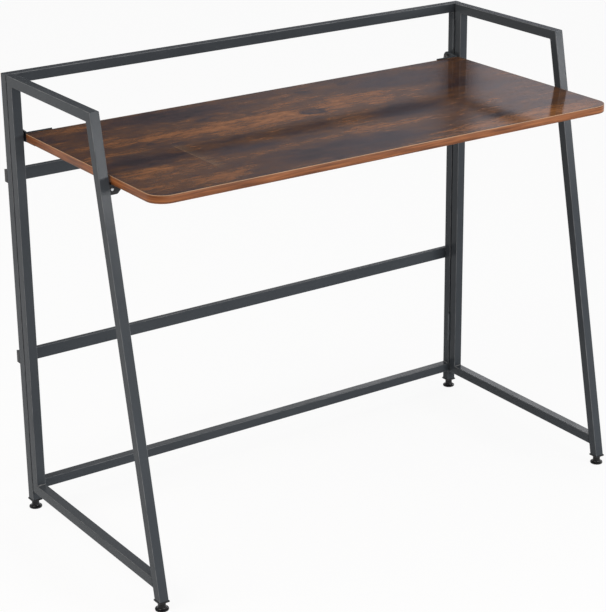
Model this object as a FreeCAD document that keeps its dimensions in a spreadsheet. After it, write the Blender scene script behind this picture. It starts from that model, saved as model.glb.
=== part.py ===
import FreeCAD, Part
import os
import Sketcher

# Folding desk: a standing back frame, two hinged side frames, a hinged desktop and four levelling feet.
# Millimetres, Z up, the front faces -Y, the origin lies on the floor in the middle of the desk.

SIZES = [
    ("frame_width", 1000, "width over the posts"),
    ("frame_height", 833, "floor to the top of the frames"),
    ("tube_side", 18, "side of the square tube"),
    ("tube_wall", 1.2, "wall of all tubes"),
    ("tube_round", 1.5, "outer corner radius of all tubes"),
    ("post_gap", 3.4, "gap between a back post and the side frame's rear post"),
    ("leg_top_reach", 323, "rear face of the back posts to the leg's front face, at the top"),
    ("leg_run", 168, "how far a leg leans forward over the frame's height"),
    ("bottom_rail_height", 38, "floor to the underside of the bottom rails"),
    ("tube_end_height", 18, "floor to the cut ends of posts and legs"),
    ("flat_rail_depth", 10, "depth of the two flat rails"),
    ("flat_rail_tall", 23, "height of the section of the two flat rails"),
    ("upper_rail_height", 634, "floor to the underside of the upper flat rail"),
    ("middle_rail_height", 289.5, "floor to the underside of the middle flat rail"),
    ("cap_thickness", 2, "visible thickness of a rail end cap"),
    ("cap_insert", 10, "length of a rail end cap inside the rail"),
    ("fit_gap", 0.1, "gap round pieces pushed into tubes"),
    ("desktop_height", 729, "floor to the top of the desktop"),
    ("desktop_thickness", 14, "thickness of the board"),
    ("desktop_depth", 451, "front to back of the desktop"),
    ("desktop_side_gap", 3.8, "gap between the desktop and each side frame"),
    ("desktop_rear_lap", 1.9, "how far the desktop reaches behind the side posts' front faces"),
    ("front_round", 32, "radius of the front corners of the desktop"),
    ("rear_round", 5, "radius of the rear corners of the desktop"),
    ("band_thickness", 0.8, "thickness of the edge band"),
    ("hinge_length", 60, "length of a side frame hinge"),
    ("leaf_width", 8, "width of a hinge leaf on its post"),
    ("leaf_thickness", 1, "thickness of a hinge leaf"),
    ("barrel_radius", 1.7, "outer radius of the hinge knuckles"),
    ("barrel_gap", 0.1, "gap between the knuckles and the inner faces of the posts"),
    ("knuckle_gap", 0.3, "gap between neighbouring knuckles"),
    ("hinge_pin_radius", 0.9, "radius of a hinge pin"),
    ("pin_head", 0.5, "thickness of a hinge pin's head"),
    ("upper_hinge_height", 741, "floor to the lower end of the upper hinges"),
    ("lower_hinge_height", 111, "floor to the lower end of the lower hinges"),
    ("running_clearance", 0.05, "radial clearance of pins and studs"),
    ("side_clearance", 0.1, "clearance between pieces that turn beside each other"),
    ("plate_thickness", 2, "sheet of the desktop's rear brackets"),
    ("bracket_width", 50, "rear bracket along the desktop's rear edge"),
    ("bracket_flange", 30, "rear bracket's reach under the desktop"),
    ("bracket_rise", 2, "rear bracket's upstand above the desktop"),
    ("ear_radius", 12, "rounded end of the bracket's ear"),
    ("stud_radius", 4, "pivot stud"),
    ("collar_radius", 8, "collar of the pivot stud"),
    ("collar_length", 6, "collar between the post and the ear"),
    ("washer_radius", 7.5, "washer on the pivot stud"),
    ("washer_thickness", 1, "washer on the pivot stud"),
    ("nut_radius", 7, "cap nut on the pivot stud"),
    ("nut_length", 6, "cap nut on the pivot stud"),
    ("screw_radius", 1.7, "shank of a bracket screw"),
    ("screw_length", 10, "shank of a bracket screw"),
    ("screw_head_radius", 3.6, "head of a bracket screw"),
    ("screw_head_height", 1.8, "head of a bracket screw"),
    ("screw_inset", 18, "screws to the desktop's rear edge"),
    ("outer_screw", 12, "outer screw to the ear's outer face"),
    ("screw_spacing", 26, "distance between the two screws of a bracket"),
    ("support_reach", 25, "leg support's reach under the desktop"),
    ("support_drop", 17.5, "height of a leg support"),
    ("support_depth", 14, "front to back of a leg support"),
    ("support_lip", 6, "height of a leg support at its tip"),
    ("support_foot", 14, "flat underside of a leg support"),
    ("support_round", 4, "rounding of a leg support's lower edges"),
    ("rest_gap", 0.05, "gap between the desktop and a leg support"),
    ("tang_thickness", 2, "steel tang inside a leg support"),
    ("tang_reach", 14, "steel tang inside a leg support"),
    ("tang_margin", 3, "material of the support above and below the tang"),
    ("rivet_radius", 1.6, "rivet through support and tang"),
    ("rivet_head_radius", 2.6, "head of that rivet"),
    ("rivet_head_height", 1.2, "head of that rivet"),
    ("rivet_inset", 4.5, "rivet to the leg's inner face"),
    ("rivet_drop", 8, "rivet below the top of the support"),
    ("plug_lap", 0.9, "plug flange beyond the tube on each side"),
    ("plug_flange", 2.5, "thickness of a plug's flange"),
    ("plug_insert", 14, "length of a plug inside the tube"),
    ("foot_radius", 12, "disc of a levelling foot"),
    ("foot_disc", 3, "thickness of the disc's rim"),
    ("foot_bevel", 1, "bevel round the disc's underside"),
    ("foot_flare", 8.5, "floor to the top of the foot's flare"),
    ("foot_neck_radius", 6.8, "neck of a levelling foot"),
    ("foot_gap", 0.5, "gap between the neck and the plug"),
    ("foot_stud_radius", 3, "threaded stud of a levelling foot"),
    ("foot_stud_length", 12, "stud above the neck"),
]

PLACES = [
    ("leg_slope", "Sizes.leg_run / Sizes.frame_height"),
    ("leg_depth", "Sizes.tube_side * sqrt(1 + (Sizes.leg_run / Sizes.frame_height) ^ 2)"),
    ("leg_wall", "Sizes.tube_wall * sqrt(1 + (Sizes.leg_run / Sizes.frame_height) ^ 2)"),
    ("foot_reach", "Sizes.leg_top_reach + Sizes.leg_run * (1 - Sizes.tube_end_height / Sizes.frame_height)"
                   " - Places.leg_depth / 2"),
    ("rear_face", "(Places.foot_reach + Sizes.foot_radius - Sizes.flat_rail_depth) / 2"),
    ("side_rear", "Places.rear_face - Sizes.tube_side - Sizes.post_gap"),
    ("side_front", "Places.side_rear - Sizes.tube_side"),
    ("tube_middle", "Sizes.frame_width / 2 - Sizes.tube_side / 2"),
    ("inner_face", "Sizes.frame_width / 2 - Sizes.tube_side"),
    ("under_top_rail", "Sizes.frame_height - Sizes.tube_side"),
    ("over_bottom_rail", "Sizes.bottom_rail_height + Sizes.tube_side"),
    ("desktop_half", "Places.inner_face - Sizes.desktop_side_gap"),
    ("desktop_rear", "Places.side_front + Sizes.desktop_rear_lap"),
    ("desktop_middle", "Places.desktop_rear - Sizes.desktop_depth / 2"),
    ("desktop_level", "Sizes.desktop_height - Sizes.desktop_thickness / 2"),
    ("desktop_under", "Sizes.desktop_height - Sizes.desktop_thickness"),
    ("pivot_y", "Places.rear_face - Sizes.tube_side / 2"),
    ("rear_edge_arm", "Places.pivot_y - Places.desktop_rear"),
    ("ear_face", "Places.inner_face - Sizes.collar_length - Sizes.side_clearance"),
    ("barrel_inset", "Sizes.barrel_radius + Sizes.barrel_gap"),
    ("hinge_x", "Places.inner_face - Places.barrel_inset"),
    ("hinge_y", "Places.rear_face - Sizes.tube_side - Sizes.post_gap / 2"),
    ("knuckle_pitch", "Sizes.hinge_length / 5"),
    ("support_top", "Places.desktop_under - Sizes.rest_gap"),
    ("support_level", "Places.support_top - Sizes.support_drop / 2"),
    ("foot_neck_top", "Sizes.tube_end_height - Sizes.plug_flange - Sizes.foot_gap"),
]

doc = FreeCAD.newDocument("folding_desk")

sheet = doc.addObject("Spreadsheet::Sheet", "Sizes")
for row, (alias, number, note) in enumerate(SIZES, 1):
    sheet.set(f"A{row}", note)
    sheet.set(f"B{row}", str(number))
    sheet.setAlias(f"B{row}", alias)

places = doc.addObject("Spreadsheet::Sheet", "Places")
for row, (alias, formula) in enumerate(PLACES, 1):
    places.set(f"A{row}", alias)
    places.setAlias(f"B{row}", alias)
    places.set(f"B{row}", "=" + formula.replace("Places.", ""))
doc.recompute()

LEFT = "-1"
RIGHT = "1"
SIDES = (("left", LEFT), ("right", RIGHT))
pieces = []


def value(text):
    """The present value of an expression over the two sheets."""
    return float(sheet.evalExpression(text))


def origin_feature(body, role):
    """One of the body's own base planes or axes."""
    return [feature for feature in body.Origin.OriginFeatures if feature.Role == role][0]


def new_body(label, x="0", y="0", z="0"):
    """An empty body placed by three expressions."""
    body = doc.addObject("PartDesign::Body", label)
    body.Label = label
    body.setExpression("Placement.Base.x", x)
    body.setExpression("Placement.Base.y", y)
    body.setExpression("Placement.Base.z", z)
    return body


def new_sketch(body, plane, offset="0"):
    """An empty sketch on a base plane of the body, moved along that plane's normal."""
    sketch = body.newObject("Sketcher::SketchObject", body.Name + "_sketch")
    sketch.AttachmentSupport = [(origin_feature(body, plane), "")]
    sketch.MapMode = "FlatFace"
    sketch.setExpression("AttachmentOffset.Base.z", offset)
    return sketch


def tie(sketch, kind, geometry, point, number, text):
    """Hold one point of the sketch at an expression, measured from the sketch's origin."""
    index = sketch.addConstraint(Sketcher.Constraint(kind, -1, 1, geometry, point, number))
    sketch.setExpression(f"Constraints[{index}]", text)


def polygon(body, plane, corners, offset="0"):
    """A closed outline whose corners are pairs of expressions."""
    sketch = new_sketch(body, plane, offset)
    points = [FreeCAD.Vector(value(across), value(up), 0) for across, up in corners]
    count = len(points)
    for k in range(count):
        sketch.addGeometry(Part.LineSegment(points[k], points[(k + 1) % count]), False)
    for k in range(count):
        sketch.addConstraint(Sketcher.Constraint("Coincident", k, 2, (k + 1) % count, 1))
    for k, (across, up) in enumerate(corners):
        tie(sketch, "DistanceX", k, 1, points[k].x, across)
        tie(sketch, "DistanceY", k, 1, points[k].y, up)
    return sketch


def box_corners(left, right, low, high):
    """The four corners of a rectangle, as pairs of expressions."""
    return [(left, low), (right, low), (right, high), (left, high)]


def rectangle(body, plane, left, right, low, high, offset="0"):
    """A rectangle between four expressions."""
    return polygon(body, plane, box_corners(left, right, low, high), offset)


def circle(body, plane, across, up, radius, offset="0"):
    """A circle whose centre and radius are expressions."""
    sketch = new_sketch(body, plane, offset)
    centre = FreeCAD.Vector(value(across), value(up), 0)
    sketch.addGeometry(Part.Circle(centre, FreeCAD.Vector(0, 0, 1), value(radius)), False)
    tie(sketch, "DistanceX", 0, 3, centre.x, across)
    tie(sketch, "DistanceY", 0, 3, centre.y, up)
    index = sketch.addConstraint(Sketcher.Constraint("Radius", 0, value(radius)))
    sketch.setExpression(f"Constraints[{index}]", radius)
    return sketch


def extrude(body, kind, sketch, length):
    """A pad or pocket that runs half its length to each side of the sketch."""
    feature = body.newObject("PartDesign::" + kind, body.Name + "_" + kind.lower())
    feature.Profile = sketch
    feature.SideType = "Symmetric"
    feature.setExpression("Length", length)
    doc.recompute()
    return feature


def round_edges(body, base, chosen, radius):
    """Round the edges of a feature for which chosen(edge) is true."""
    names = [f"Edge{number}" for number, edge in enumerate(base.Shape.Edges, 1) if chosen(edge)]
    fillet = body.newObject("PartDesign::Fillet", body.Name + "_fillet")
    fillet.Base = (base, names)
    fillet.setExpression("Radius", radius)
    doc.recompute()
    return fillet


def turned(label, axis, profile, x="0", y="0", z="0"):
    """A solid of revolution about the body's X, Y or Z axis, from corners on a plane through that axis."""
    body = new_body(label, x, y, z)
    plane = "YZ_Plane" if axis == "Y_Axis" else "XZ_Plane"
    sketch = polygon(body, plane, profile)
    revolution = body.newObject("PartDesign::Revolution", label + "_revolution")
    revolution.Profile = sketch
    revolution.ReferenceAxis = (origin_feature(body, axis), [""])
    revolution.Angle = 360
    doc.recompute()
    return body


def tube(label, plane, outline, hollow, along, thickness, x="0", y="0"):
    """A tube cut to an outline in the plane; hollow is the outline of its bore, open at the ends."""
    body = new_body(label, x, y)
    pad = extrude(body, "Pad", polygon(body, plane, outline), thickness)
    round_edges(body, pad, lambda edge: edge.tangentAt(edge.FirstParameter).cross(along).Length < 1e-6,
                "Sizes.tube_round")
    extrude(body, "Pocket", polygon(body, plane, hollow), f"{thickness} - 2 * Sizes.tube_wall")
    pieces.append(body)
    return body


def leg_front(height):
    """Y of the front face of the legs at a height."""
    return f"(Places.rear_face - Sizes.leg_top_reach - Places.leg_slope * (Sizes.frame_height - ({height})))"


ALONG_X = FreeCAD.Vector(1, 0, 0)
ALONG_Y = FreeCAD.Vector(0, 1, 0)
ALONG_Z = FreeCAD.Vector(0, 0, 1)
TOP = "Sizes.frame_height"
BOTTOM = "Sizes.bottom_rail_height"
TUBE_END = "Sizes.tube_end_height"
WALL = "Sizes.tube_wall"
TUBE = "Sizes.tube_side"
POST_MIDDLE_Y = "Places.pivot_y"

# Back posts, mitred at the top to the back top rail and open at the bottom for the plugs.
for side, sign in SIDES:
    outer = f"{sign} * Sizes.tube_side / 2"
    inner = f"-({sign}) * Sizes.tube_side / 2"
    bore = "Sizes.tube_side / 2 - Sizes.tube_wall"
    tube(f"back_post_{side}", "XZ_Plane",
         [(outer, TUBE_END), (outer, TOP), (inner, "Places.under_top_rail"), (inner, TUBE_END)],
         box_corners(f"-({bore})", bore, f"{TUBE_END} - {TUBE}", f"{TOP} + {TUBE}"),
         ALONG_Z, TUBE, f"{sign} * Places.tube_middle", POST_MIDDLE_Y)

# Back top rail, mitred at both ends.
half = "Sizes.frame_width / 2"
tube("back_top_rail", "XZ_Plane",
     [(f"-{half}", TOP), (half, TOP),
      ("Places.inner_face", "Places.under_top_rail"), ("-Places.inner_face", "Places.under_top_rail")],
     box_corners(f"-{half} - {TUBE}", f"{half} + {TUBE}",
                 f"Places.under_top_rail + {WALL}", f"{TOP} - {WALL}"),
     ALONG_X, TUBE, "0", POST_MIDDLE_Y)

# Back bottom rail, butted between the posts.
tube("back_bottom_rail", "XZ_Plane",
     box_corners("-Places.inner_face", "Places.inner_face", BOTTOM, "Places.over_bottom_rail"),
     box_corners(f"-{half}", half, f"{BOTTOM} + {WALL}", f"Places.over_bottom_rail - {WALL}"),
     ALONG_X, TUBE, "0", POST_MIDDLE_Y)

# Two flat rails on the rear faces of the posts, closed by end caps.
rail_end = "(Sizes.frame_width / 2 - Sizes.cap_thickness)"
rail_y = "Places.rear_face + Sizes.flat_rail_depth / 2"
caps = []
for name, low in (("upper", "Sizes.upper_rail_height"), ("middle", "Sizes.middle_rail_height")):
    high = f"{low} + Sizes.flat_rail_tall"
    tube(f"back_{name}_rail", "XZ_Plane",
         box_corners(f"-{rail_end}", rail_end, low, high),
         box_corners(f"-{half}", half, f"{low} + {WALL}", f"{high} - {WALL}"),
         ALONG_X, "Sizes.flat_rail_depth", "0", rail_y)
    for side, sign in SIDES:
        cap = new_body(f"{name}_cap_{side}", f"{sign} * {rail_end}", rail_y,
                       f"{low} + Sizes.flat_rail_tall / 2")
        plate_y = "Sizes.flat_rail_depth / 2"
        plate_z = "Sizes.flat_rail_tall / 2"
        insert_y = "(Sizes.flat_rail_depth / 2 - Sizes.tube_wall - Sizes.fit_gap)"
        insert_z = "(Sizes.flat_rail_tall / 2 - Sizes.tube_wall - Sizes.fit_gap)"
        extrude(cap, "Pad", rectangle(cap, "YZ_Plane", f"-{plate_y}", plate_y, f"-{plate_z}", plate_z,
                                      f"{sign} * Sizes.cap_thickness / 2"), "Sizes.cap_thickness")
        extrude(cap, "Pad", rectangle(cap, "YZ_Plane", f"-{insert_y}", insert_y, f"-{insert_z}", insert_z,
                                      f"-({sign}) * Sizes.cap_insert / 2"), "Sizes.cap_insert")
        caps.append(cap)
rail_end_caps = doc.addObject("Part::Compound", "rail_end_caps")
rail_end_caps.Links = caps
pieces.append(rail_end_caps)

# Side frames: rear post, top rail, leaning front leg and bottom rail, mitred where two tubes end together.
leg_lean = FreeCAD.Vector(0, value("Places.leg_slope"), 1).normalize()
leg_back_top = f"{leg_front('Places.under_top_rail')} + Places.leg_depth"
for side, sign in SIDES:
    middle = f"{sign} * Places.tube_middle"
    tube(f"{side}_rear_post", "YZ_Plane",
         [("Places.side_rear", BOTTOM), ("Places.side_rear", TOP),
          ("Places.side_front", "Places.under_top_rail"), ("Places.side_front", "Places.over_bottom_rail")],
         box_corners(f"Places.side_front + {WALL}", f"Places.side_rear - {WALL}",
                     f"{BOTTOM} - {TUBE}", f"{TOP} + {TUBE}"),
         ALONG_Z, TUBE, middle)
    tube(f"{side}_top_rail", "YZ_Plane",
         [(leg_front(TOP), TOP), ("Places.side_rear", TOP),
          ("Places.side_front", "Places.under_top_rail"), (leg_back_top, "Places.under_top_rail")],
         box_corners(f"{leg_front(TOP)} - {TUBE}", f"Places.side_rear + {TUBE}",
                     f"Places.under_top_rail + {WALL}", f"{TOP} - {WALL}"),
         ALONG_Y, TUBE, middle)
    bore_low = f"{TUBE_END} - {TUBE}"
    bore_high = f"{TOP} + {TUBE}"
    tube(f"{side}_front_leg", "YZ_Plane",
         [(leg_front(TUBE_END), TUBE_END), (leg_front(TOP), TOP),
          (leg_back_top, "Places.under_top_rail"),
          (f"{leg_front(TUBE_END)} + Places.leg_depth", TUBE_END)],
         [(f"{leg_front(bore_low)} + Places.leg_wall", bore_low),
          (f"{leg_front(bore_high)} + Places.leg_wall", bore_high),
          (f"{leg_front(bore_high)} + Places.leg_depth - Places.leg_wall", bore_high),
          (f"{leg_front(bore_low)} + Places.leg_depth - Places.leg_wall", bore_low)],
         leg_lean, TUBE, middle)
    tube(f"{side}_bottom_rail", "YZ_Plane",
         [(f"{leg_front(BOTTOM)} + Places.leg_depth", BOTTOM), ("Places.side_rear", BOTTOM),
          ("Places.side_front", "Places.over_bottom_rail"),
          (f"{leg_front('Places.over_bottom_rail')} + Places.leg_depth", "Places.over_bottom_rail")],
         box_corners(leg_front(BOTTOM), f"Places.side_rear + {TUBE}",
                     f"{BOTTOM} + {WALL}", f"Places.over_bottom_rail - {WALL}"),
         ALONG_Y, TUBE, middle)


def hinge_leaf(label, sign, height, face, knuckles):
    """A leaf with its knuckles; face is +1 for the leaf on the back post and -1 for the one that swings."""
    body = new_body(label, f"{sign} * Places.hinge_x", "Places.hinge_y", height)
    near = f"{face} * (Sizes.post_gap / 2 - Sizes.leaf_thickness)"
    far = f"{face} * Sizes.post_gap / 2"
    start = f"{sign} * (Places.barrel_inset + Sizes.barrel_gap)"
    end = f"{sign} * (Places.barrel_inset + Sizes.leaf_width)"
    extrude(body, "Pad", rectangle(body, "XY_Plane", start, end, near, far, "Sizes.hinge_length / 2"),
            "Sizes.hinge_length")
    for number in knuckles:
        level = f"{number + 0.5} * Places.knuckle_pitch"
        length = "Places.knuckle_pitch - Sizes.knuckle_gap"
        extrude(body, "Pad", rectangle(body, "XY_Plane", "0", end, near, far, level), length)
        extrude(body, "Pad", circle(body, "XY_Plane", "0", "0", "Sizes.barrel_radius", level), length)
    pin_hole = circle(body, "XY_Plane", "0", "0", "Sizes.hinge_pin_radius + Sizes.running_clearance")
    extrude(body, "Pocket", pin_hole, "3 * Sizes.hinge_length")
    pieces.append(body)


# Butt hinges between the back posts and the side frames: fixed leaf, swinging leaf and pin.
for level, height in (("upper", "Sizes.upper_hinge_height"), ("lower", "Sizes.lower_hinge_height")):
    for side, sign in SIDES:
        hinge_leaf(f"{level}_{side}_fixed_leaf", sign, height, "1", (0, 2, 4))
        hinge_leaf(f"{level}_{side}_moving_leaf", sign, height, "-1", (1, 3))
        head = "Sizes.barrel_radius"
        pin = "Sizes.hinge_pin_radius"
        over = "Sizes.hinge_length + Sizes.side_clearance"
        pieces.append(turned(f"{level}_{side}_hinge_pin", "Z_Axis",
                             [("0", "-Sizes.side_clearance - Sizes.pin_head"),
                              (head, "-Sizes.side_clearance - Sizes.pin_head"),
                              (head, "-Sizes.side_clearance"), (pin, "-Sizes.side_clearance"),
                              (pin, over), (head, over),
                              (head, f"{over} + Sizes.pin_head"), ("0", f"{over} + Sizes.pin_head")],
                             f"{sign} * Places.hinge_x", "Places.hinge_y", height))


def slab(name, inset):
    """The desktop's outline, drawn in by inset all round, at full thickness."""
    body = new_body(name, "0", "Places.desktop_middle", "Places.desktop_level")
    wide = f"Places.desktop_half - {inset}"
    deep = f"Sizes.desktop_depth / 2 - {inset}"
    pad = extrude(body, "Pad", rectangle(body, "XY_Plane", f"-({wide})", wide, f"-({deep})", deep),
                  "Sizes.desktop_thickness")

    def upright(edge):
        return edge.tangentAt(edge.FirstParameter).cross(ALONG_Z).Length < 1e-6

    front = round_edges(body, pad, lambda edge: upright(edge) and edge.CenterOfMass.y < 0,
                        f"Sizes.front_round - {inset}")
    round_edges(body, front, lambda edge: upright(edge) and edge.CenterOfMass.y > value(deep) - 0.01,
                f"Sizes.rear_round - {inset}")
    return body


# Desktop: a faced board with blind screw holes under its rear corners, inside a thin edge band.
outline = slab("desktop_outline", "0")
core = slab("desktop_core", "Sizes.band_thickness")
edge_band = doc.addObject("Part::Cut", "desktop_edge_band")
edge_band.Base = outline
edge_band.Tool = core

screw_holes = []
screws = []
screw_y = "Places.desktop_rear - Sizes.screw_inset"
screw_base = "Places.desktop_under - Sizes.plate_thickness"
for side, sign in SIDES:
    for number, along in (("1", "Sizes.outer_screw"), ("2", "(Sizes.outer_screw + Sizes.screw_spacing)")):
        screw_x = f"{sign} * (Places.ear_face - {along})"
        hole = doc.addObject("Part::Cylinder", f"screw_hole_{side}_{number}")
        hole.setExpression("Radius", "Sizes.screw_radius")
        hole.setExpression("Height", "Sizes.screw_length")
        hole.setExpression("Placement.Base.x", screw_x)
        hole.setExpression("Placement.Base.y", screw_y)
        hole.setExpression("Placement.Base.z", screw_base)
        screw_holes.append(hole)
        screws.append(turned(f"bracket_screw_{side}_{number}", "Z_Axis",
                             [("0", "-Sizes.screw_head_height"),
                              ("Sizes.screw_head_radius * 0.6", "-Sizes.screw_head_height"),
                              ("Sizes.screw_head_radius", "-Sizes.screw_head_height * 0.4"),
                              ("Sizes.screw_head_radius", "0"), ("Sizes.screw_radius", "0"),
                              ("Sizes.screw_radius", "Sizes.screw_length"), ("0", "Sizes.screw_length")],
                             screw_x, screw_y, screw_base))
all_holes = doc.addObject("Part::MultiFuse", "desktop_screw_holes")
all_holes.Shapes = screw_holes
board = doc.addObject("Part::Cut", "desktop_board")
board.Base = core
board.Tool = all_holes
bracket_screws = doc.addObject("Part::Compound", "desktop_bracket_screws")
bracket_screws.Links = screws
pieces += [board, edge_band, bracket_screws]

# Rear desktop brackets: flange under the board, upstand behind its edge, ear that turns on the stud.
for side, sign in SIDES:
    bracket = new_body(f"desktop_bracket_{side}", "0", "Places.pivot_y", "Places.desktop_level")
    outer = f"{sign} * Places.ear_face"
    inner = f"{sign} * (Places.ear_face - Sizes.bracket_width)"
    arm = "Places.rear_edge_arm"
    low = "-(Sizes.desktop_thickness / 2 + Sizes.plate_thickness)"
    high = "Sizes.desktop_thickness / 2 + Sizes.bracket_rise"
    extrude(bracket, "Pad", rectangle(bracket, "XY_Plane", inner, outer,
                                      f"-{arm} - Sizes.bracket_flange", f"-{arm} + Sizes.plate_thickness",
                                      f"{low} + Sizes.plate_thickness / 2"), "Sizes.plate_thickness")
    extrude(bracket, "Pad", rectangle(bracket, "XZ_Plane", inner, outer, low, high,
                                      f"{arm} - Sizes.plate_thickness / 2"), "Sizes.plate_thickness")
    ear_middle = f"{sign} * (Places.ear_face - Sizes.plate_thickness / 2)"
    extrude(bracket, "Pad", polygon(bracket, "YZ_Plane",
                                    [(f"-{arm}", low), ("0", "-Sizes.ear_radius"),
                                     ("0", "Sizes.ear_radius"), (f"-{arm}", high)], ear_middle),
            "Sizes.plate_thickness")
    extrude(bracket, "Pad", circle(bracket, "YZ_Plane", "0", "0", "Sizes.ear_radius", ear_middle),
            "Sizes.plate_thickness")
    extrude(bracket, "Pocket", circle(bracket, "YZ_Plane", "0", "0",
                                      "Sizes.stud_radius + Sizes.running_clearance", ear_middle),
            "2 * Sizes.plate_thickness")
    for along in ("Sizes.outer_screw", "(Sizes.outer_screw + Sizes.screw_spacing)"):
        extrude(bracket, "Pocket", circle(bracket, "XY_Plane", f"{sign} * (Places.ear_face - {along})",
                                          f"-{arm} - Sizes.screw_inset",
                                          "Sizes.screw_radius + Sizes.running_clearance",
                                          f"{low} + Sizes.plate_thickness / 2"), "2 * Sizes.plate_thickness")
    pieces.append(bracket)

# Pivot studs on the inner faces of the back posts, each with a collar, a washer and a cap nut.
for side, sign in SIDES:
    inward = f"-({sign})"
    post_face = f"{sign} * Places.inner_face"
    washer_start = "(Sizes.collar_length + 2 * Sizes.side_clearance + Sizes.plate_thickness)"
    nut_start = f"({washer_start} + Sizes.washer_thickness)"
    stud_end = f"({nut_start} + Sizes.nut_length * 0.6)"
    nut_end = f"({nut_start} + Sizes.nut_length)"
    stud = "Sizes.stud_radius"
    nut = "Sizes.nut_radius"
    pieces.append(turned(f"pivot_stud_{side}", "X_Axis",
                         [("0", "0"), ("0", "Sizes.collar_radius"),
                          (f"{inward} * Sizes.collar_length", "Sizes.collar_radius"),
                          (f"{inward} * Sizes.collar_length", stud),
                          (f"{inward} * {stud_end}", stud), (f"{inward} * {stud_end}", "0")],
                         post_face, "Places.pivot_y", "Places.desktop_level"))
    pieces.append(turned(f"pivot_washer_{side}", "X_Axis",
                         [(f"{inward} * {washer_start}", stud),
                          (f"{inward} * {washer_start}", "Sizes.washer_radius"),
                          (f"{inward} * {nut_start}", "Sizes.washer_radius"),
                          (f"{inward} * {nut_start}", stud)],
                         post_face, "Places.pivot_y", "Places.desktop_level"))
    pieces.append(turned(f"pivot_cap_nut_{side}", "X_Axis",
                         [(f"{inward} * {nut_start}", stud), (f"{inward} * {nut_start}", nut),
                          (f"{inward} * ({nut_start} + Sizes.nut_length * 0.5)", nut),
                          (f"{inward} * ({nut_start} + Sizes.nut_length * 0.85)", f"{nut} * 0.7"),
                          (f"{inward} * {nut_end}", f"{nut} * 0.3"), (f"{inward} * {nut_end}", "0"),
                          (f"{inward} * {stud_end}", "0"), (f"{inward} * {stud_end}", stud)],
                         post_face, "Places.pivot_y", "Places.desktop_level"))

# Leg supports: a moulded block under the desktop, riveted to a steel tang on the leg's inner face.
support_y = f"{leg_front('Places.support_level')} + Places.leg_depth / 2"
for side, sign in SIDES:
    inward = f"-({sign})"
    post_face = f"{sign} * Places.inner_face"
    block = new_body(f"leg_support_{side}", post_face, support_y, "Places.support_top")
    pad = extrude(block, "Pad", polygon(block, "XZ_Plane",
                                        [("0", "0"), (f"{inward} * Sizes.support_reach", "0"),
                                         (f"{inward} * Sizes.support_reach", "-Sizes.support_lip"),
                                         (f"{inward} * Sizes.support_foot", "-Sizes.support_drop"),
                                         ("0", "-Sizes.support_drop")]), "Sizes.support_depth")
    lip = value("Sizes.support_lip")
    round_edges(block, pad,
                lambda edge: edge.tangentAt(edge.FirstParameter).cross(ALONG_Y).Length < 1e-6
                and edge.CenterOfMass.z < -lip + 0.01 and abs(edge.CenterOfMass.x) > 0.01,
                "Sizes.support_round")
    tang_low = "-Sizes.support_drop + Sizes.tang_margin"
    tang_high = "-Sizes.tang_margin"
    tang_end = f"{inward} * Sizes.tang_reach"
    extrude(block, "Pocket", rectangle(block, "XZ_Plane", "0", tang_end, tang_low, tang_high),
            "Sizes.tang_thickness")
    rivet_x = f"{inward} * Sizes.rivet_inset"
    extrude(block, "Pocket", circle(block, "XZ_Plane", rivet_x, "-Sizes.rivet_drop", "Sizes.rivet_radius"),
            "2 * Sizes.support_depth")
    tang = new_body(f"support_tang_{side}", post_face, support_y, "Places.support_top")
    extrude(tang, "Pad", rectangle(tang, "XZ_Plane", "0", tang_end, tang_low, tang_high),
            "Sizes.tang_thickness")
    extrude(tang, "Pocket", circle(tang, "XZ_Plane", rivet_x, "-Sizes.rivet_drop", "Sizes.rivet_radius"),
            "2 * Sizes.tang_thickness")
    ends = "Sizes.support_depth / 2"
    crown = "(Sizes.support_depth / 2 + Sizes.rivet_head_height)"
    rivet = turned(f"support_rivet_{side}", "Y_Axis",
                   [(f"-{crown}", "0"), (f"-{crown}", "Sizes.rivet_head_radius * 0.5"),
                    (f"-({ends} + Sizes.rivet_head_height * 0.4)", "Sizes.rivet_head_radius"),
                    (f"-{ends}", "Sizes.rivet_head_radius"), (f"-{ends}", "Sizes.rivet_radius"),
                    (ends, "Sizes.rivet_radius"), (ends, "Sizes.rivet_head_radius"),
                    (f"{ends} + Sizes.rivet_head_height * 0.4", "Sizes.rivet_head_radius"),
                    (crown, "Sizes.rivet_head_radius * 0.5"), (crown, "0")],
                   f"{post_face} - ({sign}) * Sizes.rivet_inset", support_y,
                   "Places.support_top - Sizes.rivet_drop")
    pieces += [block, tang, rivet]

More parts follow.
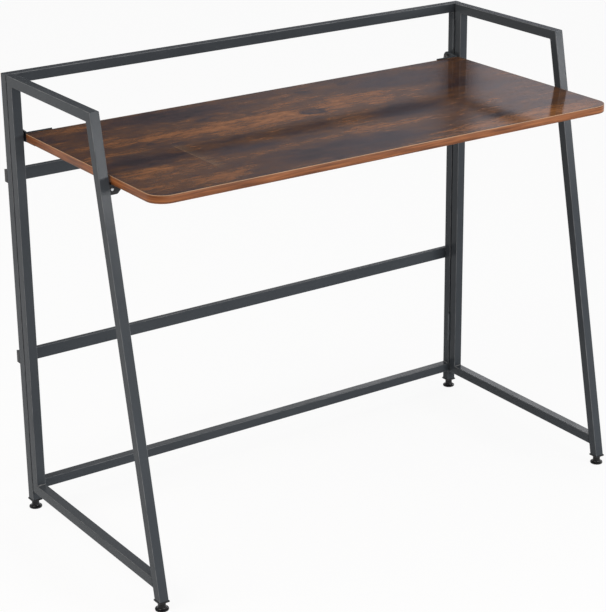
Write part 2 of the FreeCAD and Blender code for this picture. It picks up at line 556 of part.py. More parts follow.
# Plugs in the lower tube ends and the levelling feet that turn in them.
for side, sign in SIDES:
    for row, depth, wall, slope, foot_y in (
            ("back", TUBE, WALL, "0", "Places.pivot_y"),
            ("front", "Places.leg_depth", "Places.leg_wall", "Places.leg_slope",
             "Places.rear_face - Places.foot_reach")):
        middle = f"{sign} * Places.tube_middle"
        plug = new_body(f"{row}_{side}_plug", middle, foot_y, TUBE_END)
        flange_x = "(Sizes.tube_side / 2 + Sizes.plug_lap)"
        flange_y = f"({depth} / 2 + Sizes.plug_lap)"
        extrude(plug, "Pad", rectangle(plug, "XY_Plane", f"-{flange_x}", flange_x, f"-{flange_y}", flange_y,
                                       "-Sizes.plug_flange / 2"), "Sizes.plug_flange")
        insert_y = f"({depth} / 2 - {wall} - Sizes.fit_gap)"
        rise = "Sizes.plug_insert"
        extrude(plug, "Pad", polygon(plug, "YZ_Plane",
                                     [(f"-{insert_y}", "0"), (insert_y, "0"),
                                      (f"{insert_y} + {slope} * {rise}", rise),
                                      (f"-{insert_y} + {slope} * {rise}", rise)]),
                "Sizes.tube_side - 2 * Sizes.tube_wall - 2 * Sizes.fit_gap")
        extrude(plug, "Pocket", circle(plug, "XY_Plane", "0", "0",
                                       "Sizes.foot_stud_radius + Sizes.running_clearance"),
                "2 * Sizes.plug_insert + 2 * Sizes.plug_flange")
        pieces.append(plug)
        neck = "Places.foot_neck_top"
        stud_top = f"{neck} + Sizes.foot_stud_length"
        pieces.append(turned(f"{row}_{side}_foot", "Z_Axis",
                             [("0", "0"), ("Sizes.foot_radius - Sizes.foot_bevel", "0"),
                              ("Sizes.foot_radius", "Sizes.foot_bevel"),
                              ("Sizes.foot_radius", "Sizes.foot_disc"),
                              ("Sizes.foot_neck_radius", "Sizes.foot_flare"),
                              ("Sizes.foot_neck_radius", neck),
                              ("Sizes.foot_stud_radius", neck), ("Sizes.foot_stud_radius", stud_top),
                              ("0", stud_top)],
                             middle, foot_y))

doc.recompute()
for item in doc.Objects:
    if "Invalid" in item.State or "Error" in item.State:
        raise RuntimeError(f"{item.Label} did not compute: {item.State}")

os.makedirs("parts", exist_ok=True)
for piece in pieces:
    shape = piece.Shape
    if shape.isNull() or not shape.isValid():
        raise RuntimeError(f"{piece.Label} has no valid shape")
    shape.exportStep(f"parts/{piece.Label}.step")
print(len(pieces), "pieces written")
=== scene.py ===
import math

import bmesh
import bpy
from mathutils import Matrix, Vector


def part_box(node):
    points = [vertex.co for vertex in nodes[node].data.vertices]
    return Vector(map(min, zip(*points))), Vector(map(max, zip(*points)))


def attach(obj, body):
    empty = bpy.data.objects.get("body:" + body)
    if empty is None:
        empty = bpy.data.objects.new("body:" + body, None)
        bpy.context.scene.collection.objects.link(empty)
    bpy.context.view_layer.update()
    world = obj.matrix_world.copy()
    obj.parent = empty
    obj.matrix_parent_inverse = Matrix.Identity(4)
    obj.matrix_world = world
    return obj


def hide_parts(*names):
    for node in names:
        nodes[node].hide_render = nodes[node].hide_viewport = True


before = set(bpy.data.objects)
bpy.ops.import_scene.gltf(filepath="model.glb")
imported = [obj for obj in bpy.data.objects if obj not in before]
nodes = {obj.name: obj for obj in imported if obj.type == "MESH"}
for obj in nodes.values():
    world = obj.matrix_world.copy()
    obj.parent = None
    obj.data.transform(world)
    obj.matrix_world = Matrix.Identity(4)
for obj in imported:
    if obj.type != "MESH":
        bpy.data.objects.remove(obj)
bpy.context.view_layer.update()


# Back frame and side frames
# Steel tube, 18 mm square and flatter for two rails at the rear, cut to length, mitred and welded, then
# powder coated in satin charcoal. The coat has a fine orange peel; a paler painted highlight lies on rounded
# edges.

def add(tree, kind, inputs=None, **settings):
    """A shader node with its settings; an input is a value, or the output socket that feeds it."""
    node = tree.nodes.new("ShaderNode" + kind)
    for name, setting in settings.items():
        setattr(node, name, setting)
    for socket, source in (inputs or {}).items():
        if isinstance(source, bpy.types.NodeSocket):
            tree.links.new(source, node.inputs[socket])
        else:
            node.inputs[socket].default_value = source
    return node


def calculate(tree, operation, *values):
    """One value worked out from one or two others."""
    return add(tree, "Math", dict(enumerate(values)), operation=operation).outputs[0]


def gather(tree, operation, values):
    """One value worked out from a row of others, two at a time."""
    result, *others = values
    for other in others:
        result = calculate(tree, operation, result, other)
    return result


def sums(tree, *terms):
    """The sum of several values."""
    return gather(tree, "ADD", terms)


def times(tree, *factors):
    """The product of several values."""
    return gather(tree, "MULTIPLY", factors)


def largest(tree, *values):
    """The largest of several values."""
    return gather(tree, "MAXIMUM", values)


def between(tree, value, low, high, to_low=0.0, to_high=1.0, ease="LINEAR"):
    """A value carried from one range to another, and held at its ends."""
    node = add(tree, "MapRange", {"Value": value, "From Min": low, "From Max": high, "To Min": to_low,
                                  "To Max": to_high}, interpolation_type=ease)
    return node.outputs["Result"]


def noise(tree, place, stretch, detail, roughness=0.5, distortion=0.0, output="Fac"):
    """A noise whose features are 1/stretch metres long along each axis."""
    scaled = add(tree, "Mapping", {"Vector": place, "Scale": stretch})
    texture = add(tree, "TexNoise", {"Vector": scaled.outputs[0], "Scale": 1.0, "Detail": detail,
                                     "Roughness": roughness, "Distortion": distortion})
    return texture.outputs[output]


def sway(tree, texture, amount, spread=0.2):
    """A noise, which mostly keeps within a spread of 0.5, as a value that sways round nought by an amount."""
    return between(tree, texture, 0.5 - spread, 0.5 + spread, -amount, amount)


def blend_colour(tree, factor, first, second):
    """Two colours mixed by a factor."""
    return add(tree, "Mix", {0: factor, 6: first, 7: second}, data_type="RGBA").outputs[2]


def effect_group(name, inputs):
    """An empty node group with named inputs, for an effect with a colour, a roughness and a height."""
    group = bpy.data.node_groups.new(name, "ShaderNodeTree")
    for label, kind in inputs.items():
        group.interface.new_socket(label, in_out="INPUT", socket_type="NodeSocket" + kind)
    for label, kind in (("Color", "Color"), ("Roughness", "Float"), ("Height", "Float")):
        group.interface.new_socket(label, in_out="OUTPUT", socket_type="NodeSocket" + kind)
    return group


def put_out(group, colour, roughness, height):
    """Ends an effect group with what it gives to its materials."""
    end = group.nodes.new("NodeGroupOutput").inputs
    group.links.new(colour, end["Color"])
    group.links.new(roughness, end["Roughness"])
    group.links.new(height, end["Height"])


def finish_with(name, group, given, relief_depth, **shader):
    """A material with the colour, roughness and relief of an effect group; the rest is set on the shader."""
    material = bpy.data.materials.new(name)
    material.use_nodes = True
    tree = material.node_tree
    effect = add(tree, "Group", given, node_tree=group).outputs
    relief = add(tree, "Bump", {"Height": effect["Height"], "Distance": relief_depth})
    surface = tree.nodes["Principled BSDF"].inputs
    tree.links.new(effect["Color"], surface["Base Color"])
    tree.links.new(effect["Roughness"], surface["Roughness"])
    tree.links.new(relief.outputs["Normal"], surface["Normal"])
    for label, value in shader.items():
        surface[label.replace("_", " ")].default_value = value
    return material


def paint(material, *names):
    """Gives CAD nodes a material in place of the one they came with."""
    for name in names:
        slots = nodes[name].data.materials
        slots.clear()
        slots.append(material)


coat = effect_group("powder_coat", {"Tone": "Color", "Second Tone": "Color", "Painted Edge Highlight": "Color",
                                    "Shine": "Float"})
coat_in = coat.nodes.new("NodeGroupInput").outputs
coat_at = add(coat, "TexCoord").outputs
place = coat_at["Object"]
cloud = noise(coat, place, (9, 9, 9), detail=4)
peel = noise(coat, place, (620, 620, 620), detail=2)
speck = noise(coat, place, (2600, 2600, 2600), detail=1)
# A noise that breaks up the painted highlight on the rounded edges.
highlight_breakup = noise(coat, place, (30, 30, 30), detail=4, roughness=0.6)
tone_mix = sums(coat, between(coat, cloud, 0.3, 0.7, 0.0, 0.6), between(coat, speck, 0.35, 0.65, 0.0, 0.4))
whole_coat = blend_colour(coat, tone_mix, coat_in["Tone"], coat_in["Second Tone"])
# The normal of a tube's flat side lies along one axis or nearly so; on a rounded edge it lies between two.
normal_parts = add(coat, "SeparateXYZ", {"Vector": coat_at["Normal"]}).outputs
along_axis = largest(coat, *[calculate(coat, "ABSOLUTE", part) for part in normal_parts])
on_edge = between(coat, along_axis, 0.84, 0.97, 1.0, 0.0)
# Painted highlight: the rounded edges are painted paler, broken up by a noise, as if they caught the light.
painted_edge_highlight = times(coat, on_edge, between(coat, highlight_breakup, 0.35, 0.65, 0.35, 1.0))
put_out(coat,
        colour=blend_colour(coat, painted_edge_highlight, whole_coat, coat_in["Painted Edge Highlight"]),
        roughness=sums(coat, coat_in["Shine"], sway(coat, cloud, 0.05), sway(coat, peel, 0.03)),
        height=sums(coat, peel, times(coat, speck, 0.35)))

charcoal_coat = finish_with(
    "charcoal_coat", coat,
    {"Tone": (0.042, 0.048, 0.055, 1), "Second Tone": (0.056, 0.063, 0.071, 1),
     "Painted Edge Highlight": (0.17, 0.178, 0.188, 1), "Shine": 0.20},
    relief_depth=0.000015, Specular_IOR_Level=0.08)
paint(charcoal_coat, "back_post_left", "back_post_right", "back_top_rail", "back_bottom_rail",
      "back_upper_rail", "back_middle_rail")
for side in ("left", "right"):
    paint(charcoal_coat, side + "_rear_post", side + "_top_rail", side + "_front_leg", side + "_bottom_rail")


# Weld beads of the frames
# Fillet welds in the inner corners, under the charcoal coat; the outer faces of the tubes are ground flush.
# Each bead is a row of overlapping ripples, thicker in its middle and tapering at both ends.

bead_radius = 0.0020
bead_fullness = 0.4
tip_share = 0.06
ripple_length = 0.0016
ripple_depth = 0.10
steps_per_ripple = 4
corner_inset = 0.0012
flat_rail_inset = 0.0020


def add_bead(mesh, start, end):
    """A rippled round bead from start to end, added to a mesh by extruding a ring."""
    along = end - start
    steps = steps_per_ripple * round(along.length / ripple_length)
    turn = along.to_track_quat("Z", "Y").to_matrix().to_4x4()
    last_size = 0.5
    ring = bmesh.ops.create_circle(mesh, cap_ends=True, segments=12, radius=bead_radius * last_size,
                                   matrix=Matrix.Translation(start) @ turn)["verts"]
    edges = list(dict.fromkeys(edge for vert in ring for edge in vert.link_edges))
    for step in range(1, steps + 1):
        share = step / steps
        taper = math.sin(math.pi * (tip_share + (1 - 2 * tip_share) * share)) ** bead_fullness
        size = taper * (0.92 + ripple_depth * math.cos(2 * math.pi * step / steps_per_ripple))
        grown = bmesh.ops.extrude_edge_only(mesh, edges=edges)["geom"]
        ring = [item for item in grown if isinstance(item, bmesh.types.BMVert)]
        edges = [item for item in grown if isinstance(item, bmesh.types.BMEdge)]
        bmesh.ops.translate(mesh, verts=ring, vec=along / steps)
        middle = start + along * share
        bmesh.ops.scale(mesh, verts=ring, vec=(size / last_size,) * 3, space=Matrix.Translation(-middle))
        last_size = size
    bmesh.ops.edgeloop_fill(mesh, edges=edges)


def keep(name, mesh, material, body, smooth_below=40):
    """The mesh as a named piece that rides on a body and takes the given material."""
    bmesh.ops.recalc_face_normals(mesh, faces=mesh.faces)
    data = bpy.data.meshes.new(name)
    mesh.to_mesh(data)
    mesh.free()
    data.shade_smooth()
    data.set_sharp_from_angle(angle=math.radians(smooth_below))
    data.materials.append(material)
    piece = bpy.data.objects.new(name, data)
    bpy.context.scene.collection.objects.link(piece)
    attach(piece, body)
    return piece


# The beads' pale second tone puts painted glints on them: lighter patches and specks that stand in for
# highlights.
weld_coat = finish_with(
    "weld_coat", coat,
    {"Tone": (0.055, 0.059, 0.064, 1), "Second Tone": (0.17, 0.175, 0.18, 1),
     "Painted Edge Highlight": (0.11, 0.115, 0.12, 1), "Shine": 0.24},
    relief_depth=0.00003)

for side in ("left", "right"):
    post_low, post_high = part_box(side + "_rear_post")
    top_rail_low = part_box(side + "_top_rail")[0]
    leg_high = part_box(side + "_front_leg")[1]
    bottom_rail_low, bottom_rail_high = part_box(side + "_bottom_rail")
    lean = (leg_high.y - bottom_rail_low.y) / (top_rail_low.z - bottom_rail_low.z)
    leg_back_at_rail = bottom_rail_low.y + lean * (bottom_rail_high.z - bottom_rail_low.z)
    corners = ((post_low.y, bottom_rail_high.z), (post_low.y, top_rail_low.z), (leg_high.y, top_rail_low.z),
               (leg_back_at_rail, bottom_rail_high.z), (bottom_rail_low.y, bottom_rail_low.z))
    mesh = bmesh.new()
    for y, z in corners:
        add_bead(mesh, Vector((post_low.x + corner_inset, y, z)), Vector((post_high.x - corner_inset, y, z)))
    keep(side + "_frame_welds", mesh, weld_coat, side + "_side_frame")

mesh = bmesh.new()
bottom_rail_low, bottom_rail_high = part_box("back_bottom_rail")
top_rail_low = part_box("back_top_rail")[0]
for side in ("left", "right"):
    post_low, post_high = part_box("back_post_" + side)
    inner_x = post_high.x if side == "left" else post_low.x
    for z in (bottom_rail_low.z, bottom_rail_high.z, top_rail_low.z):
        add_bead(mesh, Vector((inner_x, post_low.y + corner_inset, z)),
                 Vector((inner_x, post_high.y - corner_inset, z)))
    for flat_rail in ("back_upper_rail", "back_middle_rail"):
        flat_low, flat_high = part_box(flat_rail)
        for z in (flat_low.z, flat_high.z):
            add_bead(mesh, Vector((post_low.x + flat_rail_inset, post_high.y, z)),
                     Vector((post_high.x - flat_rail_inset, post_high.y, z)))
keep("back_frame_welds", mesh, weld_coat, "back_frame")


# Hinges
# Pressed steel leaves, 1 mm thick and rolled round their pins, welded to the posts and coated with them.
# Their rolled barrels fill the gap between the posts; their coat is painted paler than the frames' as painted
# light.

# Painted light: the frames' coat made paler, so that the barrels look lit in the shaded gap between the
# posts.
leaf_coat = finish_with(
    "leaf_coat", coat,
    {"Tone": (0.075, 0.084, 0.094, 1), "Second Tone": (0.105, 0.116, 0.128, 1),
     "Painted Edge Highlight": (0.105, 0.116, 0.128, 1), "Shine": 0.26},
    relief_depth=0.000015, Specular_IOR_Level=0.25)
for side in ("left", "right"):
    for level in ("upper", "lower"):
        paint(leaf_coat, f"{level}_{side}_fixed_leaf", f"{level}_{side}_moving_leaf")


# Desktop brackets and support tangs
# Steel plate of 2 mm, cut and bent to shape and coated like the frames. The brackets are screwed under the
# board and pivot on the back posts; the tangs stand on the front legs, inside the plastic supports.

for side in ("left", "right"):
    paint(charcoal_coat, "desktop_bracket_" + side, "support_tang_" + side)


# Pins, pivots, rivets and screws
# Turned and headed steel. The rivets and screws are bright zinc; the hinge pins and pivots are blacked.
# Fine turning rings and handling stains show in the shine.

steel = effect_group("turned_steel", {"Tone": "Color", "Stain": "Color", "Shine": "Float"})
steel_in = steel.nodes.new("NodeGroupInput").outputs
place = add(steel, "TexCoord").outputs["Object"]
stain = noise(steel, place, (260, 260, 260), detail=4, roughness=0.6)
turning = noise(steel, place, (4200, 500, 500), detail=2)
put_out(steel,
        colour=blend_colour(steel, between(steel, stain, 0.45, 0.7), steel_in["Tone"], steel_in["Stain"]),
        roughness=sums(steel, steel_in["Shine"], between(steel, stain, 0.3, 0.7, -0.08, 0.10),
                       sway(steel, turning, 0.04)),
        height=turning)

bright_zinc = finish_with(
    "bright_zinc", steel,
    {"Tone": (0.62, 0.63, 0.65, 1), "Stain": (0.42, 0.43, 0.44, 1), "Shine": 0.28},
    relief_depth=0.00002, Metallic=1.0)
blacked_steel = finish_with(
    "blacked_steel", steel,
    {"Tone": (0.030, 0.030, 0.032, 1), "Stain": (0.055, 0.052, 0.050, 1), "Shine": 0.36},
    relief_depth=0.00002)
paint(bright_zinc, "desktop_bracket_screws")
for side in ("left", "right"):
    paint(bright_zinc, "support_rivet_" + side)
    paint(blacked_steel, f"upper_{side}_hinge_pin", f"lower_{side}_hinge_pin", "pivot_stud_" + side,
          "pivot_washer_" + side, "pivot_cap_nut_" + side)


# Leg supports, tube plugs and rail end caps
# Injection-moulded black polypropylene with a fine spark texture. The plugs and caps are pressed into the
# tube ends, and the supports are riveted over the steel tangs on the legs.

plastic = effect_group("moulded_plastic", {"Tone": "Color", "Rubbed": "Color", "Shine": "Float"})
plastic_in = plastic.nodes.new("NodeGroupInput").outputs
place = add(plastic, "TexCoord").outputs["Object"]
spark = noise(plastic, place, (1500, 1500, 1500), detail=2)
flow = noise(plastic, place, (60, 60, 160), detail=3)
put_out(plastic,
        colour=blend_colour(plastic, between(plastic, flow, 0.45, 0.75), plastic_in["Tone"],
                            plastic_in["Rubbed"]),
        roughness=sums(plastic, plastic_in["Shine"], sway(plastic, flow, 0.06), sway(plastic, spark, 0.04)),
        height=spark)

black_plastic = finish_with(
    "black_plastic", plastic,
    {"Tone": (0.008, 0.008, 0.009, 1), "Rubbed": (0.020, 0.020, 0.021, 1), "Shine": 0.36},
    relief_depth=0.00004, Specular_IOR_Level=0.25)
paint(black_plastic, "rail_end_caps")
for side in ("left", "right"):
    paint(black_plastic, "leg_support_" + side, f"back_{side}_plug", f"front_{side}_plug")


# Levelling feet
# Glossy black moulded feet on threaded studs: a flat disc with a rounded rim, a flared shoulder and a neck.
# Each screws into its plug and turns to level the desk.

rim_height = 0.0028
rim_round = 0.0007
shoulder_inset = 0.0012
shoulder_height = 0.0090
shoulder_steps = 8
neck_radius = 0.0070
neck_height = 0.0154
stud_radius = 0.0030
merge_distance = 0.00001
sharp_angle = math.radians(40)


def round_edges(mesh, edges, radius, segments):
    """Rounds some edges of a mesh by a radius."""
    bmesh.ops.bevel(mesh, geom=edges, offset=radius, offset_type="OFFSET", affect="EDGES", segments=segments,
                    profile=0.5, material=-1)


glossy_plastic = finish_with(
    "glossy_plastic", plastic,
    {"Tone": (0.006, 0.006, 0.007, 1), "Rubbed": (0.014, 0.014, 0.015, 1), "Shine": 0.24},
    relief_depth=0.00002, Specular_IOR_Level=0.22)

for corner in ("back_left", "back_right", "front_left", "front_right"):
    foot_low, foot_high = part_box(corner + "_foot")
    disc_radius = (foot_high.x - foot_low.x) / 2
    centre = Vector(((foot_low.x + foot_high.x) / 2, (foot_low.y + foot_high.y) / 2, 0))
    flare = disc_radius - shoulder_inset - neck_radius
    outline = [(0, 0), (disc_radius, 0), (disc_radius, rim_height)]
    for step in range(1, shoulder_steps + 1):
        angle = math.radians(90 * step / shoulder_steps)
        outline.append((neck_radius + flare * (1 - math.sin(angle)),
                        rim_height + (shoulder_height - rim_height) * (1 - math.cos(angle))))
    outline += [(neck_radius, neck_height), (stud_radius, neck_height), (stud_radius, foot_high.z),
                (0, foot_high.z)]
    mesh = bmesh.new()
    points = [mesh.verts.new(centre + Vector((radius, 0, height))) for radius, height in outline]
    line = [mesh.edges.new(pair) for pair in zip(points, points[1:])]
    bmesh.ops.spin(mesh, geom=points + line, cent=centre, axis=(0, 0, 1), angle=2 * math.pi, steps=48,
                   use_merge=True)
    bmesh.ops.remove_doubles(mesh, verts=mesh.verts, dist=merge_distance)
    bmesh.ops.recalc_face_normals(mesh, faces=mesh.faces)
    below_stud = [edge for edge in mesh.edges if edge.verts[0].co.z < neck_height + merge_distance]
    rims = [edge for edge in below_stud if edge.calc_face_angle(0) > sharp_angle]
    round_edges(mesh, rims, rim_round, segments=3)
    foot = keep(corner + "_rounded_foot", mesh, glossy_plastic, corner + "_foot")
    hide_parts(corner + "_foot")


# Desktop board
# Particle board of 14 mm faced with printed melamine paper: a weathered dark brown wood with charcoal clouds,
# rust-brown streaks along the board and a few knots, under a satin wear layer. Its underside has grain alone.

def calculate_vector(tree, operation, *vectors):
    """A vector worked out from others, or a number where the operation gives one."""
    result = "Value" if operation in ("LENGTH", "DOT_PRODUCT") else "Vector"
    return add(tree, "VectorMath", dict(enumerate(vectors)), operation=operation).outputs[result]


board = effect_group("board_print", {})
board_at = add(board, "TexCoord").outputs
place = board_at["Object"]
facing = add(board, "SeparateXYZ", {"Vector": board_at["Normal"]}).outputs["Z"]
upper_face = between(board, facing, -0.5, 0.5)
# The forms of the print wander by a few centimetres along the board and less across it.
drift_reach = (0.09, 0.030, 0)
drift = noise(board, place, (9, 26, 1), detail=6, roughness=0.62, output="Color")
drift_share = calculate_vector(board, "SUBTRACT", drift, (0.5, 0.5, 0.5))
drift_move = calculate_vector(board, "MULTIPLY", drift_share, drift_reach)
wandering = calculate_vector(board, "ADD", place, drift_move)


def reach_from(x, y, half_length, half_depth):
    """How far out a place lies in an oval, from 0 in its middle to 1 on its outline."""
    offset = calculate_vector(board, "SUBTRACT", wandering, (x, y, 0))
    shaped = calculate_vector(board, "MULTIPLY", offset, (1 / half_length, 1 / half_depth, 0))
    return calculate_vector(board, "LENGTH", shaped)


def spots(*ovals):
    """The strongest of several soft ovals, each given by its middle, half length, half depth and strength."""
    strengths = []
    for x, y, half_length, half_depth, strength in ovals:
        reach = reach_from(x, y, half_length, half_depth)
        strengths.append(between(board, reach, 0.35, 1.25, strength, 0.0, "SMOOTHSTEP"))
    return largest(board, *strengths)


def colour_ramp(tree, value, *stops):
    """The colour of a value on a ramp of at least two positions and colours, in rising order."""
    ramp = add(tree, "ValToRGB", {"Fac": value})
    first, *inner, last = stops
    for element, (position, colour) in zip(ramp.color_ramp.elements, (first, last)):
        element.position = position
        element.color = colour
    for position, colour in inner:
        ramp.color_ramp.elements.new(position).color = colour
    return ramp.outputs["Color"]


dark_clouds = spots((-0.20, 0.155, 0.19, 0.045, 1.0), (0.235, 0.125, 0.12, 0.050, 0.7),
                    (-0.39, -0.050, 0.085, 0.042, 0.9), (-0.22, -0.095, 0.075, 0.030, 0.8),
                    (0.160, -0.055, 0.075, 0.050, 1.0), (-0.055, -0.192, 0.20, 0.050, 1.0),
                    (0.26, -0.195, 0.07, 0.022, 0.7), (0.014, 0.030, 0.035, 0.018, 0.9),
                    (0.40, 0.02, 0.06, 0.05, 0.4))
warm_clouds = spots((-0.31, 0.052, 0.12, 0.022, 0.8), (-0.42, -0.005, 0.08, 0.016, 0.6),
                    (-0.10, 0.036, 0.21, 0.048, 1.0), (0.13, 0.048, 0.15, 0.045, 0.75),
                    (-0.37, -0.208, 0.11, 0.024, 0.75), (-0.42, -0.120, 0.06, 0.026, 0.7),
                    (0.33, -0.222, 0.20, 0.032, 1.0), (0.03, -0.118, 0.12, 0.022, 0.45),
                    (-0.40, 0.175, 0.07, 0.02, 0.5))
slate_clouds = spots((0.160, -0.055, 0.085, 0.055, 1.0), (0.255, 0.125, 0.10, 0.050, 0.9),
                     (-0.22, -0.095, 0.09, 0.034, 0.6), (-0.39, -0.060, 0.08, 0.040, 0.5),
                     (0.02, -0.185, 0.13, 0.030, 0.5))
knot_depth_share = 0.6
growth_ring_rate = 9.0
knots = []
for x, y, size in ((0.014, 0.030, 0.022), (0.062, 0.153, 0.013), (0.175, 0.165, 0.010),
                   (-0.335, 0.020, 0.009)):
    reach = reach_from(x, y, size / knot_depth_share, size)
    growth_rings = calculate(board, "SINE", times(board, reach, growth_ring_rate))
    knots.append(times(board, between(board, reach, 0.4, 1.3, 1.0, 0.0, "SMOOTHSTEP"),
                       between(board, growth_rings, -1.0, 1.0, -0.42, -0.12)))
figure = times(board, upper_face, sums(board, *knots, times(board, warm_clouds, 0.32),
                                       times(board, dark_clouds, -0.24)))

mottle = noise(board, wandering, (14, 44, 1), detail=8, roughness=0.68, distortion=0.4)
flecks = noise(board, wandering, (50, 120, 1), detail=6, roughness=0.7, distortion=0.3)
streaks = noise(board, wandering, (8, 110, 1), detail=5, roughness=0.6)
patches = noise(board, wandering, (4, 11, 1), detail=3)
fibres = noise(board, place, (42, 820, 1), detail=3, roughness=0.6)
pores = noise(board, place, (60, 1500, 1), detail=2)
middle_tone = 0.44
tone = sums(board, figure,
            sway(board, mottle, 0.26, spread=0.25),
            sway(board, flecks, 0.17, spread=0.25),
            sway(board, streaks, 0.11, spread=0.25),
            sway(board, patches, 0.08),
            sway(board, fibres, 0.12, spread=0.25),
            middle_tone)
wood = colour_ramp(board, tone,
                   (0.05, (0.020, 0.013, 0.014, 1)),
                   (0.26, (0.046, 0.025, 0.024, 1)),
                   (0.5, (0.108, 0.049, 0.022, 1)),
                   (0.74, (0.235, 0.092, 0.029, 1)),
                   (1.0, (0.40, 0.170, 0.058, 1)))
slate = (0.038, 0.032, 0.044, 1)
slated_wood = blend_colour(board, times(board, slate_clouds, 0.48, upper_face), wood, slate)

# The joint of two printed planks crosses the left part: a thin pale line that fades out to its right.
joint_x = -0.309
joint_colour = (0.21, 0.135, 0.080, 1)
board_x, board_y, _ = add(board, "SeparateXYZ", {"Vector": place}).outputs
off_joint = calculate(board, "SUBTRACT", board_x, joint_x)
joint_line = between(board, calculate(board, "ABSOLUTE", off_joint), 0.0004, 0.0016, 0.35, 0.0)
beside_joint = times(board, between(board, off_joint, 0.0, 0.0008),
                     between(board, off_joint, 0.002, 0.022, 0.30, 0.0))
joint_span = times(board, between(board, board_y, -0.175, -0.150),
                   between(board, board_y, -0.020, -0.005, 1.0, 0.0))
joint = times(board, joint_span, upper_face, sums(board, joint_line, beside_joint))
jointed_wood = blend_colour(board, joint, slated_wood, joint_colour)

wear_layer_roughness = 0.10
pore_colour = (0.012, 0.009, 0.008, 1)
pore_mask = between(board, pores, 0.62, 0.74)
put_out(board,
        colour=blend_colour(board, times(board, pore_mask, 0.5), jointed_wood, pore_colour),
        roughness=sums(board, sway(board, fibres, 0.025), sway(board, patches, 0.02), wear_layer_roughness),
        height=sums(board, fibres, times(board, pore_mask, -0.6)))
board_face = finish_with("board_face", board, {}, relief_depth=0.00002, Specular_IOR_Level=0.30)
paint(board_face, "desktop_board")


# Desktop edge band
# A band of printed plastic, 0.8 mm thick, glued round all four edges of the board and trimmed with a small
# radius at both arrises. A thin pale line at the upper one is partly the paler body of the plastic, partly a
# painted highlight.

band_thickness = 0.0008
front_corner = 0.032
rear_corner = 0.005
arris_radius = 0.0007
square_angle = math.radians(60)
level_limit = 0.0001
band_roughness = 0.40
painted_shade_brown = (0.07, 0.022, 0.007, 1)
bare_plastic_and_highlight = (0.50, 0.32, 0.19, 1)
band_low, band_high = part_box("desktop_edge_band")
band_middle = (band_low + band_high) / 2

banding = effect_group("band_print", {})
place = add(banding, "TexCoord").outputs["Object"]
height = add(banding, "SeparateXYZ", {"Vector": place}).outputs["Z"]
grain = noise(banding, place, (12, 12, 360), detail=4, roughness=0.55, distortion=0.2)
tint = noise(banding, place, (11, 11, 60), detail=3)
printed = colour_ramp(banding, sums(banding, sway(banding, grain, 0.42), sway(banding, tint, 0.18), 0.5),
                      (0.05, (0.075, 0.023, 0.007, 1)),
                      (0.5, (0.200, 0.066, 0.020, 1)),
                      (0.95, (0.33, 0.120, 0.040, 1)))
# Painted shade: the band is darkened towards its lower edge.
painted_lower_shade = between(banding, height, band_low.z + 0.0008, band_low.z + 0.0045, 0.45, 0.0, "SMOOTHSTEP")
shaded = blend_colour(banding, painted_lower_shade, printed, painted_shade_brown)
# A thin pale line along the upper arris: partly the bare plastic, partly a painted highlight.
bare_arris_and_painted_highlight = between(banding, height, band_high.z - 0.0011, band_high.z - 0.0004, 0.0, 0.8)
put_out(banding,
        colour=blend_colour(banding, bare_arris_and_painted_highlight, shaded, bare_plastic_and_highlight),
        roughness=sums(banding, sway(banding, grain, 0.05), band_roughness),
        height=grain)
band_finish = finish_with("band_finish", banding, {}, relief_depth=0.00003, Specular_IOR_Level=0.22)


def rise(edge):
    """How much higher one end of an edge is than the other."""
    return abs(edge.verts[0].co.z - edge.verts[1].co.z)


mesh = bmesh.new()
block = Matrix.Translation(band_middle) @ Matrix.Diagonal((*(band_high - band_low), 1))
bmesh.ops.create_cube(mesh, size=1, matrix=block)
uprights = [edge for edge in mesh.edges if rise(edge) > level_limit]
front_edges = [edge for edge in uprights if edge.verts[0].co.y < band_middle.y]
rear_edges = [edge for edge in uprights if edge.verts[0].co.y > band_middle.y]
round_edges(mesh, front_edges, front_corner, segments=20)
round_edges(mesh, rear_edges, rear_corner, segments=6)
flats = [face for face in mesh.faces if abs(face.normal.z) > 0.9]
bmesh.ops.inset_region(mesh, faces=flats, thickness=band_thickness, use_even_offset=True)
bmesh.ops.delete(mesh, geom=flats, context="FACES")
open_edges = [edge for edge in mesh.edges if edge.is_boundary]
bmesh.ops.bridge_loops(mesh, edges=open_edges)
bmesh.ops.recalc_face_normals(mesh, faces=mesh.faces)
arrises = []
for edge in mesh.edges:
    if edge.calc_face_angle(0) > square_angle and rise(edge) < level_limit:
        faced = sum((face.normal for face in edge.link_faces), Vector())
        outwards = (edge.verts[0].co + edge.verts[1].co) / 2 - band_middle
        if faced.xy.dot(outwards.xy) > 0:
            arrises.append(edge)
round_edges(mesh, arrises, arris_radius, segments=4)
band = keep("desktop_rounded_band", mesh, band_finish, "desktop", smooth_below=50)
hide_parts("desktop_edge_band")


# Floor
# A plain white studio floor, far wider than the view. It looks nearly white to the camera and in reflections,
# and keeps the desk's soft shadow.

floor_radius = 200
white_share = 0.91
floor_mesh = bmesh.new()
bmesh.ops.create_circle(floor_mesh, cap_ends=True, segments=128, radius=floor_radius)
floor_data = bpy.data.meshes.new("studio_floor")
floor_mesh.to_mesh(floor_data)
floor_mesh.free()
floor = bpy.data.objects.new("studio_floor", floor_data)
bpy.context.scene.collection.objects.link(floor)
floor_paint = bpy.data.materials.new("floor_paint")
floor_paint.use_nodes = True
floor_look = floor_paint.node_tree
floor_look.nodes.clear()
rays = add(floor_look, "LightPath").outputs
seen = sums(floor_look, rays["Is Camera Ray"], rays["Is Glossy Ray"], rays["Is Transmission Ray"])
matt = add(floor_look, "BsdfDiffuse", {"Color": (0.8, 0.8, 0.8, 1)}).outputs[0]
white = add(floor_look, "Emission", {"Color": (1, 1, 1, 1), "Strength": 1.0}).outputs[0]
shown = add(floor_look, "MixShader", {0: white_share, 1: matt, 2: white}).outputs[0]
mixed = add(floor_look, "MixShader", {0: seen, 1: matt, 2: shown}).outputs[0]
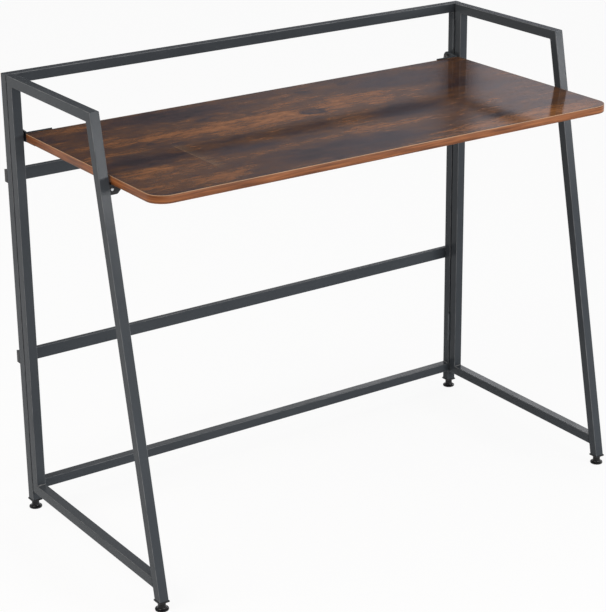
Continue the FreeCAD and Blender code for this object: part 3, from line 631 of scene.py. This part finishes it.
add(floor_look, "OutputMaterial", {"Surface": mixed})
floor_data.materials.append(floor_paint)


# Light
# A studio dome, white to the camera: dim low down, paler to the right of a narrow dark gap, brighter higher
# up, with a bright panel on the right. A warm soft box stands high at the left, another in front with its
# middle below the desktop, and a narrow strip at the front right.

to_right = (0.966, 0.259, 0)
across_gap = (0.7815, -0.6239, 0)
panel_glow = 5.2
plain_glow = 0.62
low_hue = (0.95, 0.95, 1.06, 1)
plain_white = (1, 1, 1, 1)
world = bpy.data.worlds.new("studio")
bpy.context.scene.world = world
world.use_nodes = True
dome = world.node_tree
towards = add(dome, "TexCoord").outputs["Generated"]
upwards = add(dome, "SeparateXYZ", {"Vector": towards}).outputs["Z"]
rightwards = calculate_vector(dome, "DOT_PRODUCT", towards, to_right)
off_gap = calculate_vector(dome, "DOT_PRODUCT", towards, across_gap)
low_glow = sums(dome, between(dome, rightwards, 0.62, 0.80, 0.080, 0.40, "SMOOTHSTEP"),
                between(dome, off_gap, 0.0, 0.006, 0.0, 0.24))
dark_gap = between(dome, calculate(dome, "ABSOLUTE", off_gap), 0.0055, 0.0095, 0.05, 1.0)
dark_foot = between(dome, upwards, 0.207, 0.230, 0.10, 1.0, "SMOOTHSTEP")
low_part = times(dome, low_glow, dark_gap, dark_foot)
right_panel = times(dome, between(dome, rightwards, 0.55, 0.80, 0.0, panel_glow, "SMOOTHSTEP"),
                    between(dome, upwards, 0.43, 0.475, 1.0, 0.0, "SMOOTHSTEP"))
high_part = sums(dome, right_panel, plain_glow)
high_share = between(dome, upwards, 0.345, 0.415, 0.0, 1.0, "SMOOTHSTEP")
brightness = add(dome, "Mix", {0: high_share, 2: low_part, 3: high_part}, data_type="FLOAT").outputs[0]
hue = blend_colour(dome, high_share, low_hue, plain_white)
lit = add(dome, "VectorMath", {0: hue, "Scale": brightness}, operation="SCALE").outputs[0]
rays = add(dome, "LightPath").outputs
mirrored = sums(dome, rays["Is Glossy Ray"], rays["Is Transmission Ray"])
near_floor = between(dome, upwards, 0.06, 0.11, 1.0, 0.0, "SMOOTHSTEP")
seen_white = sums(dome, rays["Is Camera Ray"], times(dome, mirrored, near_floor))
backdrop = blend_colour(dome, seen_white, lit, plain_white)
dome.links.new(backdrop, dome.nodes["Background"].inputs["Color"])


def soft_box(name, place, aim, width, height, radiance, colour=(1, 1, 1)):
    """A rectangular lamp that faces a point, as bright as radiance on its face."""
    lamp = bpy.data.lights.new(name, "AREA")
    lamp.shape = "RECTANGLE"
    lamp.size = width
    lamp.size_y = height
    lamp.energy = radiance * math.pi * width * height
    lamp.color = colour
    holder = bpy.data.objects.new(name, lamp)
    holder.location = place
    holder.rotation_euler = (Vector(aim) - Vector(place)).to_track_quat("-Z", "Y").to_euler()
    bpy.context.scene.collection.objects.link(holder)


soft_box("left_box", place=(-3.2, -0.2, 2.9), aim=(0, 0, 0.5), width=3.2, height=2.2, radiance=3.6,
         colour=(1.0, 0.92, 0.83))
soft_box("front_box", place=(-0.5, -3.3, 0.5), aim=(0, 0, 0.5), width=2.6, height=0.8, radiance=1.8)
soft_box("front_right_strip", place=(1.35, -2.75, 0.95), aim=(0, -0.1, 0.75), width=2.4, height=0.24,
         radiance=27.0)


# Camera
# A long lens from the front left, a little above the desk, at the photograph's angle. Its place, its three
# axes, the lens and the shift come from a fit to the edges in the photograph.

camera_data = bpy.data.cameras.new("camera")
camera_data.lens = 113.884
camera_data.sensor_width = 36
camera_data.shift_x = -0.0637
camera_data.shift_y = -0.0294
camera = bpy.data.objects.new("camera", camera_data)
camera_place = (-1.89158, -2.76756, 1.65231)
rightward = Vector((0.81772955, -0.57558873, -0.00399822))
upward = Vector((0.20454288, 0.28408395, 0.93672756))
backward = Vector((-0.53803400, -0.76680762, 0.35003642))
turn = Matrix((rightward, upward, backward)).transposed().to_4x4()
camera.matrix_world = Matrix.Translation(camera_place) @ turn
bpy.context.scene.collection.objects.link(camera)
bpy.context.scene.camera = camera
bpy.context.scene.view_settings.view_transform = "Standard"
